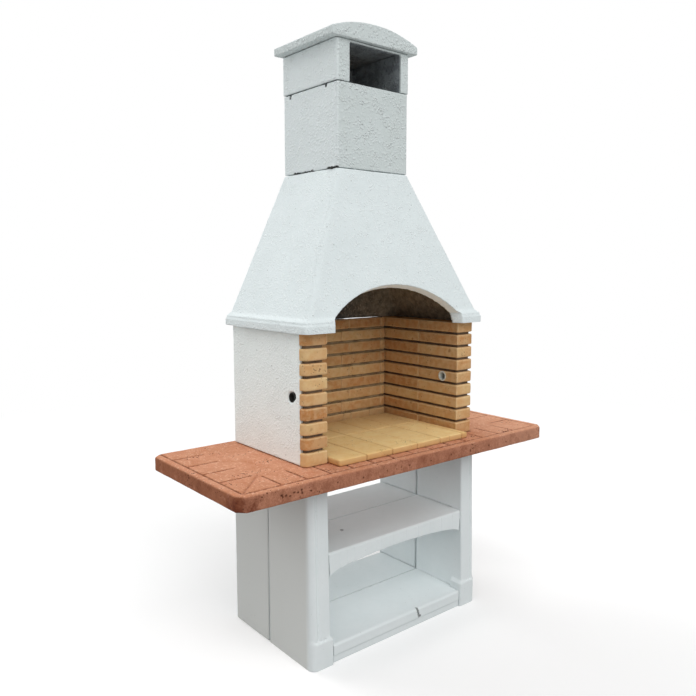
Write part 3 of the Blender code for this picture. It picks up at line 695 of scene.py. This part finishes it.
def make_brick(name, light, dark, burnt, pale, wear_and_highlight, flank_shade):
    """Firebrick, each brick with its own tone, orange blotches, pale arrises for wear and as a painted
    highlight, and small dark spots.
    Ash lies on the rows behind the fire, and the sides of a hearth tile are painted darker than its top, as
    painted shade."""
    material, tree, shader, place = start_material(name, 0.9, specular=0.15)
    surface = effect(tree, cast_surface, place, Size=90.0, Holes=0.26)
    broad = effect(tree, blotches, place, Size=16.0, Contrast=0.8)
    spots = effect(tree, blotches, place, Size=45.0, Contrast=0.3)
    tone = mark(tree, "tone")
    scorched = spread(tree, noise(tree, place, 26.0, 2.0, 0.5), 0.70, 0.76)
    smoky = spread(tree, tone, 0.90, 0.93)
    up = along(tree, place, "Z")
    behind_fire = spread(tree, along(tree, place, "Y"), -0.02, 0.24)
    ash = times(tree, behind_fire, spread(tree, up, 0.80, 0.75))
    tile_side_shade = spread(tree, up, 0.7465, 0.7435)
    base = coats(
        tree, light,
        (tone, 1.0, dark),
        (broad["Mask"], 0.45, burnt),
        (smoky, 1.7 * wear_and_highlight, (132, 102, 74)),
        (spots["Mask"], 0.25, pale),
        # Pale arrises: wear, and a painted highlight along the edges
        (mark(tree, "arris"), wear_and_highlight, pale),
        (scorched, wear_and_highlight, (140, 84, 48)),
        (surface["Holes"], 1.0, (110, 66, 38)),
        (ash, 0.55, (168, 132, 92)),
        # Painted shade: the sides of a hearth tile are coloured darker than its top
        (tile_side_shade, flank_shade, (196, 146, 96)),
    )
    return end_material(material, shader, base, surface["Height"], 0.0012, 0.7)


def make_mortar(name, light, dark, crumbs):
    """Fire mortar, coarse and crumbly."""
    material, tree, shader, place = start_material(name, 0.95)
    surface = effect(tree, cast_surface, place, Size=150.0, Holes=0.35)
    broad = effect(tree, blotches, place, Size=20.0, Contrast=0.7)
    base = coats(tree, light, (broad["Mask"], 1.0, dark), (broad["Fine Mask"], 0.4, crumbs))
    return end_material(material, shader, base, surface["Height"], 0.003)


def make_steel():
    """Galvanised steel tube, dull and spangled, painted dark towards its outer end as painted shade deep in
    the bore.
    """
    material, tree, shader, place = start_material("galvanised_steel", 0.5, metallic=0.15)
    spangle = put(tree, "ShaderNodeTexVoronoi", {"Vector": place, "Scale": 260.0}, feature="F1")
    tints = put(tree, "ShaderNodeSeparateColor", {"Color": spangle.outputs["Color"]}).outputs
    # Painted shade deep in the bore: darker towards the outer end
    outer = spread(tree, sums(tree, "ABSOLUTE", along(tree, place, "X")), 0.338, 0.365)
    base = coats(tree, (206, 210, 204), (tints["Red"], 1.0, (232, 236, 230)), (outer, 1.0, (52, 52, 48)))
    feed(tree, shader, {"Roughness": spread(tree, tints["Green"], 0.0, 1.0, 0.4, 0.65)})
    return end_material(material, shader, base, tints["Blue"], 0.0002, 0.6)


stucco = make_stucco()
flue_stucco = make_flue_stucco()
hood_stucco = make_hood_stucco()
paint = make_paint()
worktop_finish = make_worktop_finish()
firebrick = make_brick(
    "yellow_firebrick",
    (222, 189, 136), (170, 112, 63), (202, 134, 78), (234, 208, 164), wear_and_highlight=0.45, flank_shade=0.0
)
hearth_brick = make_brick(
    "hearth_firebrick",
    (249, 218, 155), (236, 201, 138), (236, 190, 125), (250, 226, 172), wear_and_highlight=0.0, flank_shade=0.55
)
fire_mortar = make_mortar("fire_mortar", (126, 108, 88), (84, 70, 56), (150, 136, 116))
bed_mortar = make_mortar("grey_bed_mortar", (146, 128, 98), (100, 84, 58), (172, 158, 130))
galvanised = make_steel()


# Castings

def open_joint(piece, at_top, at_foot):
    """Take a thin wedge off a slab's rear face, so that a dark joint shows where the next slab starts."""
    low, high = corners(piece)
    start = Vector((low.x - past, high.y - at_top, low.z - past))
    wedge = block("wedge", start, high + Vector((past, past, past)))
    middle = (low.z + high.z) / 2
    shift(wedge, lambda point: point.z < middle and point.y < high.y, (0.0, at_top - at_foot, 0.0))
    cut(piece, wedge)


def score(piece, low, high, lean):
    """Cut an upright line into a slab, leaning back with the slab's front."""
    tool = block("scraper", low, high)
    middle = (low[2] + high[2]) / 2
    shift(tool, lambda point: point.z > middle, (0.0, lean, 0.0))
    cut(piece, tool)


def cast_faces(piece, fineness, depths):
    """Mesh a piece evenly and give it the waves and the roughness that a mould leaves."""
    even_mesh(piece, fineness)
    for texture, depth in zip((wavy, rough), depths):
        uneven(piece, texture, depth)


def cast_piece(piece, node, material, fine=False, pits=()):
    """A casting as it leaves the mould: soft arrises and uneven faces, with painted shade in its pits."""
    painted = material == paint
    cast_faces(piece, slab_grain if fine else casting_grain, paint_faces if painted else stucco_faces)
    thin(piece, slab_most if fine else casting_most)
    if pits:
        shade_pits(piece, pits)
    smooth(piece)
    finish_piece(piece, material, "paint" if painted else "stucco", node)


def mark_hollow(piece, node, wall, top):
    """Note which faces lie in the hollow of a node, more than most of its wall in, and under a height."""
    low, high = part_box(node)

    def in_hollow(point):
        depth = min(min(point.co[axis] - low[axis], high[axis] - point.co[axis]) for axis in range(2))
        return 1.0 if depth > wall * 0.7 and point.co.z < top else 0.0

    note(piece, "inside", in_hollow)


def mark_hood(piece):
    """Note which faces of the hood lie in its hollow, where soot is, and which in the reveal of the arch."""
    low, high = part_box("hood")
    stack_low, stack_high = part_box("chimney_stack")
    foot = low.z + rim_height

    def lie(point):
        """Half the hood's width and the place of its front at the point's height, and the point's depth."""
        share = (point.co.z - foot) / (high.z - foot)
        half = (high.x - rim_overhang) * (1 - share) + stack_high.x * share
        front = (low.y + rim_overhang) * (1 - share) + stack_low.y * share
        depth = min(half - abs(point.co.x), point.co.y - front, high.y + 0.003 - point.co.y)
        return half, front, depth

    def in_reveal(point):
        half, front, depth = lie(point)
        normal = point.normal
        # A bare face looks down, or sideways where it is well inside the hood's width
        facing = -normal.z if abs(normal.z) > abs(normal.y) else 0.0
        facing = max(facing, abs(normal.x) - 0.8 if abs(point.co.x) < half - 0.06 else 0.0)
        in_arch = point.co.y < front + arch_wall and depth > 0.004 and point.co.z > low.z + 0.004
        return 1.0 if in_arch and facing > 0.2 else 0.0

    def in_hollow(point):
        depth = lie(point)[2]
        return 0.0 if in_reveal(point) else min(max((depth - hood_wall) / 0.005, 0.0), 1.0)

    note(piece, "inside", in_hollow)
    note(piece, "reveal", in_reveal)


def seat_hood(piece):
    """Lay the hood's foot flat on the walls. It stays rough on the back wall, where light comes through."""
    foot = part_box("hood")[0].z
    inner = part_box("back_course_1")[0]

    def on_walls(point):
        in_front = point.y < inner.y - 0.01
        to_the_right = point.x > -inner.x - 0.03
        return point.z < foot + seat_band and (in_front or to_the_right)

    level(piece, on_walls, foot + 0.0002)


def make_hood():
    """The hood, cast in one with its moulded rim."""
    piece = casting("hood", "hood_casting")
    cast_faces(piece, hood_grain, hood_faces)
    seat_hood(piece)
    thin(piece, hood_most)
    mark_hood(piece)
    smooth(piece)
    finish_piece(piece, hood_stucco, "stucco", "hood")


def make_worktop():
    """The worktop slab, with its embossed brick pattern worn soft, and air holes along its front edge."""
    piece = casting("worktop", "worktop_slab")
    front = -0.310
    pits = []
    for step in range(6):
        place = (-0.603 + 0.0155 * step, front, 0.700 - 0.004 * (step % 3))
        pits.append((place, (0.008, 0.008, 0.006)))
    for step in range(11):
        place = (-0.60 + 0.11 * step, front, 0.690 + 0.009 * chance.random())
        pits.append((place, (0.006, 0.007, 0.006)))
    dig(piece, pits)
    even_mesh(piece, worktop_grain)
    for texture, depth in ((wavy, 0.0012), (worn, 0.0008), (rough, 0.0008)):
        uneven(piece, texture, depth)
    thin(piece, worktop_most)
    shade_pits(piece, pits)
    smooth(piece, 60.0)
    finish_piece(piece, worktop_finish, "worktop", "worktop")


def make_side_slabs():
    """The four side slabs. Rough spots mark the shoulders of the plinths, and the joints gape a little."""
    low, high = shoulder_heights
    for word, side in sides.items():
        node = word + "_front_side"
        slab = casting(node, word + "_front_slab")
        shift(slab, lambda point: low < point.z < high, (0.0, 0.0, -shoulder_drop))
        dig(slab, [((x, -0.2235, 0.1045), (0.018, 0.014, 0.009)) for x in shoulder_spots[word]])
        for inner, outer, front, back, lean in pilaster_lines:
            start, end = sorted((side * inner, side * outer))
            score(slab, (start, front, line_foot), (end, back, line_head), lean)
        open_joint(slab, *side_gaps[word])
        cast_piece(slab, node, paint, fine=True)
        node = word + "_rear_side"
        cast_piece(casting(node, word + "_rear_slab"), node, paint)


def make_shelves():
    """The shelf and floor slabs: board marks on the apron, a pit, a crack in the beam and a gap beside it."""
    shelf = casting("front_shelf", "front_shelf_slab")
    low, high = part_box("front_shelf")
    for place in board_marks:
        start = (place, low.y - past, low.z - past)
        saw(shelf, start, (place + mark_width, low.y + mark_depth, high.z - 0.012))
    pits = [((-0.1686, -0.0652, 0.4085), (0.012, 0.012, 0.014))]
    dig(shelf, pits)
    open_joint(shelf, 0.0036, 0.0036)
    cast_piece(shelf, "front_shelf", paint, True, pits)
    cast_piece(casting("rear_shelf", "rear_shelf_slab"), "rear_shelf", paint)
    crack = [
        ((0.0895, -0.221, 0.066), (0.010, 0.026, 0.012)),
        ((0.0915, -0.221, 0.056), (0.009, 0.022, 0.014)),
        ((0.0945, -0.221, 0.045), (0.009, 0.020, 0.013)),
        ((0.1010, -0.221, 0.034), (0.015, 0.020, 0.009)),
    ]
    low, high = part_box("front_floor")
    crumbs = [((-0.20 + 0.055 * step, high.y, high.z), (0.012, 0.012, 0.010)) for step in range(7)]
    beam = casting("front_floor", "front_floor_slab")
    dig(beam, crack + crumbs)
    saw(beam, (-0.3345, low.y - past, low.z - past), (-0.3285, low.y + 0.02, 0.072))
    open_joint(beam, 0.0020, 0.0020)
    cast_piece(beam, "front_floor", paint, True, crack)
    cast_piece(casting("rear_floor", "rear_floor_slab"), "rear_floor", paint)


def make_panels():
    """The stuccoed panels. The spit hole in the left one is broken out unevenly."""
    low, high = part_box("left_spit_sleeve")
    middle = (low + high) / 2
    breaks = [
        ((-0.4275, middle.y - 0.008, middle.z + 0.006), (0.020, 0.040, 0.036)),
        ((-0.4275, middle.y + 0.002, middle.z + 0.004), (0.020, 0.034, 0.034)),
    ]
    for word in ("left", "right", "back"):
        node = word + "_panel"
        panel = casting(node, word + "_stucco_panel")
        if word == "left":
            dig(panel, breaks)
        cast_piece(panel, node, stucco)
        if word != "back":
            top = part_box(node)[1].z
            level(panel, lambda point: point.z > top - seat_band, top)


def make_chimney():
    """Stack, cap and roof, with crumbled mortar at the joints of the stack's left side."""
    low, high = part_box("chimney_stack")
    foot = [((low.x, y, low.z), (0.022, 0.020, 0.009)) for y in (0.215, 0.196, 0.176, 0.150, 0.128, 0.105)]
    foot += [((low.x, y, low.z), (0.022, 0.024, 0.011)) for y in (0.0, -0.018, -0.040)]
    head = [
        ((low.x, 0.243, high.z - 0.006), (0.040, 0.011, 0.020)),
        ((low.x, 0.018, high.z - 0.004), (0.034, 0.011, 0.015)),
    ]
    stack = casting("chimney_stack", "chimney_stack_casting")
    dig(stack, foot + head)
    cast_piece(stack, "chimney_stack", flue_stucco, pits=foot + head)
    mark_hollow(stack, "chimney_stack", 0.036, high.z)
    cap = casting("chimney_cap", "chimney_cap_casting")
    cast_piece(cap, "chimney_cap", flue_stucco)
    mark_hollow(cap, "chimney_cap", 0.012, high.z + 1.0)
    roof = casting("roof_slab", "roof_casting")
    cast_piece(roof, "roof_slab", flue_stucco)
    mark_hollow(roof, "chimney_cap", 0.050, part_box("roof_slab")[0].z + 0.008)


# Bricks

def mark_arrises(piece):
    """Note how near each point of a brick lies to the brick's arrises."""
    low, high = corners(piece)

    def by_arris(point):
        ways = sorted(min(point.co[axis] - low[axis], high[axis] - point.co[axis]) for axis in range(3))
        return min(max(1.0 - (ways[1] - arris_start) / arris_fade, 0.0), 1.0)

    note(piece, "arris", by_arris)


def set_tone(piece, tone):
    """Give every point of a brick the brick's own tone."""
    note(piece, "tone", lambda point: tone)


def brick_blank(name, low, high, round_corner=None):
    """A brick from a block: an outer corner rounded if asked, all arrises broken, then meshed evenly."""
    piece = block(name, low, high)
    if round_corner is not None:
        def at_corner(*ends):
            return all(
                abs(end.x - round_corner[0]) < 0.001 and abs(end.y - round_corner[1]) < 0.001 for end in ends
            )
        round_edges(piece, at_corner, jamb_round, 6)
    round_edges(piece, lambda first, second: abs(first.z - second.z) < 0.0001, bed_arris, 2)
    even_mesh(piece, brick_grain)
    return piece


def copy_brick(blank, name, low, high):
    """A copy of a blank with its own mesh, lifted to its course's top, and its foot drawn to the course's."""
    foot, top = [corner.z for corner in corners(blank)]
    lift = high.z - top
    take(blank)
    bpy.ops.object.duplicate()
    bpy.ops.transform.translate(value=(0.0, 0.0, lift))
    brick = settle(name)
    drop = low.z - (foot + lift)
    if abs(drop) > 0.002:
        shift(brick, lambda point: point.z < foot + lift + bed_arris * 2, (0.0, 0.0, drop))
    return brick


def lay_row(wall, course, blanks):
    """One course: copies of its bricks, each worn and with its own tone, joined to one piece."""
    low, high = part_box(f"{wall}_course_{course}")
    bricks = []
    for index, blank in enumerate(blanks):
        brick = copy_brick(blank, f"{wall}_brick_{course}_{index + 1}", low, high)
        tone = back_tones[course][index] if wall == "back" else chance.random() * darkest_tone
        uneven(brick, worn, brick_wear, 0.5)
        thin(brick, brick_most)
        mark_arrises(brick)
        set_tone(brick, tone)
        bricks.append(brick)
    row = bricks[0]
    take(row)
    for brick in bricks:
        brick.select_set(True)
    bpy.ops.object.join()
    row.name = row.data.name = f"{wall}_brick_row_{course}"
    if course == 5 and wall != "back":
        bore_row(row, wall)
    smooth(row)
    finish_piece(row, firebrick, "brick", f"{wall}_course_{course}")


def bore_row(piece, wall):
    """Drill the hole for the spit sleeve through a row of bricks."""
    low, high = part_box(wall + "_spit_sleeve")
    middle = (low + high) / 2
    reach = Vector((0.12, 0.0, 0.0))
    cut(piece, drum("drill", middle - reach, middle + reach, sleeve_radius + drill_play, 32))


def make_side_walls():
    """Both side walls: a jamb brick with a round corner, and the brick behind it."""
    for wall, side in sides.items():
        low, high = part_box(wall + "_course_2")
        joint = low.y + first_joint
        outer = high.x if side > 0 else low.x
        inner = low.x if side > 0 else high.x
        deep = outer - side * jamb_recess
        front_low = (min(inner, outer), low.y, low.z)
        front_high = (max(inner, outer), joint - hairline, high.z)
        jamb = brick_blank(wall + "_jamb_blank", front_low, front_high, (outer, low.y))
        notch_low = (min(deep, outer + side * past), low.y + jamb_lip, low.z - past)
        notch_high = (max(deep, outer + side * past), joint, high.z + past)
        saw(jamb, notch_low, notch_high)
        rear_low = (min(inner, deep), joint + hairline, low.z)
        rear_high = (max(inner, deep), high.y, high.z)
        stretcher = brick_blank(wall + "_stretcher_blank", rear_low, rear_high)
        for course in range(1, 10):
            lay_row(wall, course, (jamb, stretcher))
        clear_away((jamb, stretcher))


def make_back_wall():
    """The back wall, whose head joints shift from row to row, and a wide mortared joint in the fifth row."""
    low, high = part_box("back_course_2")
    end_of_row = high.x - corner_gap
    for courses, kind, joint in (
        ((3, 7, 9), "odd", hairline), ((5,), "odd", wide_joint),
        ((2, 4, 6, 8), "even", hairline), ((1,), "foot", hairline)
    ):
        places = back_rows[kind]
        starts = [low.x] + [place + hairline for place in places]
        ends = [places[0] - joint] + [place - hairline for place in places[1:]] + [end_of_row]
        blanks = []
        for start, end in zip(starts, ends):
            blanks.append(brick_blank("back_blank", (start, low.y, low.z), (end, high.y, high.z)))
        for course in courses:
            lay_row("back", course, blanks)
        clear_away(blanks)


def lay_mortar(name, low, high):
    """A crumbly bed or head joint of mortar."""
    bed = block(name, low, high)
    even_mesh(bed, brick_grain)
    uneven(bed, rough, mortar_wear, 0.5)
    thin(bed, bed_most)
    smooth(bed)
    finish_piece(bed, bed_mortar, "mortar")


def make_bed_mortar():
    """The mortar between the rows of the back wall, and in the wide joint of its fifth row."""
    low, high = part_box("back_mortar")
    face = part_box("back_course_1")[0].y
    front = face + bed_recess
    for course in range(1, 9):
        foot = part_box(f"back_course_{course}")[1].z - 0.001
        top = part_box(f"back_course_{course + 1}")[0].z + 0.001
        end = (high.x - corner_gap, front + bed_depth, top)
        lay_mortar(f"back_bed_{course}", (low.x, front, foot), end)
    foot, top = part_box("back_course_5")
    right = back_rows["odd"][0] + 0.001
    left = right - wide_joint - 0.002
    lay_mortar("back_head_5", (left, face + 0.0015, foot.z), (right, face + 0.012, top.z))


def make_hearth():
    """The hearth tiles, laid by hand a little out of level."""
    for row in ("front", "rear"):
        for index in range(1, 7):
            node = f"hearth_tile_{row}_{index}"
            low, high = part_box(node)
            tile = block(f"hearth_{row}_{index}", low, high)
            work(tile, "BEVEL", width=tile_arris, segments=2)
            even_mesh(tile, brick_grain * 1.2)
            drop = -tile_drop * chance.random()
            shift(tile, lambda point: point.z > high.z - 2 * tile_arris, (0.0, 0.0, drop))
            uneven(tile, worn, tile_wear)
            thin(tile, tile_most)
            mark_arrises(tile)
            set_tone(tile, chance.random())
            smooth(tile)
            finish_piece(tile, hearth_brick, "tile", node)


# Spit sleeves and wall mortar

def make_sleeve(wall, side):
    """A spit sleeve: a turned tube with a thin collar on the bricks, its edges broken."""
    low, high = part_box(wall + "_spit_sleeve")
    middle = (low + high) / 2
    face = low.x if side > 0 else high.x
    end = high.x if side > 0 else low.x
    seat = face + side * 0.002
    centre = (middle.y, middle.z)
    collar = drum("collar", (face, *centre), (seat, *centre), (high.z - low.z) / 2, 48)
    tube = drum(wall + "_sleeve_tube", (seat - side * 0.001, *centre), (end, *centre), sleeve_radius, 48)
    bore = drum("bore", (face - side * past, *centre), (end + side * past, *centre), bore_radius, 48)
    work(tube, "BOOLEAN", object=collar, operation="UNION", solver="EXACT")
    clear_away((collar,))
    cut(tube, bore)
    work(tube, "BEVEL", width=0.0004, segments=2, limit_method="ANGLE", angle_limit=math.radians(50.0))
    smooth(tube, 40.0)
    finish_piece(tube, galvanised, "steel", wall + "_spit_sleeve")


def dress_mortar():
    """The mortar bodies have the right form and get the finish of the real joints."""
    for word in ("left", "right", "back"):
        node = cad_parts[word + "_mortar"]
        node.data.materials.clear()
        node.data.materials.append(fire_mortar)


# Floor, light and camera

def looked_at(tree):
    """1 where the camera sees something straight, in a reflection or through glass, and else 0."""
    rays = tree.nodes.new("ShaderNodeLightPath").outputs
    seen = sums(tree, "MAXIMUM", rays["Is Camera Ray"], rays["Is Glossy Ray"])
    return sums(tree, "MAXIMUM", seen, rays["Is Transmission Ray"])


def make_floor():
    """A pale floor that keeps the shadow near the object and turns white far from it."""
    bpy.ops.object.select_all(action="DESELECT")
    bpy.ops.mesh.primitive_plane_add(size=120.0, location=(0.0, 0.0, 0.0))
    floor = bpy.context.active_object
    floor.name = "pale_floor"
    material, tree, shader, place = start_material("pale_floor_finish", 0.9)
    length = put(tree, "ShaderNodeVectorMath", {0: place}, operation="LENGTH")
    far = spread(tree, length.outputs["Value"], 1.3, 5.0)
    seen = looked_at(tree)
    shader.inputs["Emission Color"].default_value = (1.0, 1.0, 1.0, 1.0)
    feed(tree, shader, {
        "Base Color": spread(tree, seen, 0.0, 1.0, 0.50, 0.95),
        "Emission Strength": times(tree, seen, 0.10),
    })
    white = tree.nodes.new("ShaderNodeEmission")
    inputs = {0: times(tree, far, seen), 1: shader.outputs[0], 2: white.outputs[0]}
    blend = put(tree, "ShaderNodeMixShader", inputs)
    feed(tree, tree.nodes["Material Output"], {"Surface": blend.outputs[0]})
    floor.data.materials.append(material)


def sun(name, strength, spread_angle, direction):
    """A lamp that shines one way, with soft shadows."""
    lamp = bpy.data.lights.new(name, "SUN")
    lamp.energy = strength
    lamp.angle = math.radians(spread_angle)
    bring_in(name, lamp).rotation_euler = Vector(direction).to_track_quat("-Z", "Y").to_euler()


def make_light():
    """A white background, an even sky, and broad lights from the front, from behind and from above."""
    world = bpy.data.worlds.new("studio")
    world.use_nodes = True
    tree = world.node_tree
    tree.nodes.clear()
    strength = spread(tree, looked_at(tree), 0.0, 1.0, 0.49, 1.0)
    back = put(tree, "ShaderNodeBackground", {"Color": (1.0, 1.0, 1.0, 1.0), "Strength": strength})
    put(tree, "ShaderNodeOutputWorld", {"Surface": back.outputs[0]})
    bpy.context.scene.world = world
    sun("front_light", 1.30, 50.0, (0.10, 0.70, -0.70))
    sun("back_light", 1.35, 40.0, (0.30, -0.90, -0.40))
    sun("overhead_light", 0.35, 30.0, (0.36, 0.125, -0.92))


def make_camera():
    """The photograph's viewpoint, at standing height to the front left."""
    lens = bpy.data.cameras.new("viewpoint")
    lens.sensor_width = 36.0
    lens.lens = 35.96
    camera = bring_in("viewpoint", lens)
    camera.location = (-1.767, -2.049, 1.405)
    camera.rotation_euler = (math.radians(83.28), 0.0, math.radians(-39.39))
    bpy.context.scene.camera = camera


make_side_slabs()
make_shelves()
make_panels()
make_chimney()
make_hood()
make_worktop()
make_side_walls()
make_back_wall()
make_bed_mortar()
make_hearth()
for wall, side in sides.items():
    make_sleeve(wall, side)
dress_mortar()
make_floor()
make_light()
make_camera()
bpy.context.scene.view_settings.view_transform = "Standard"
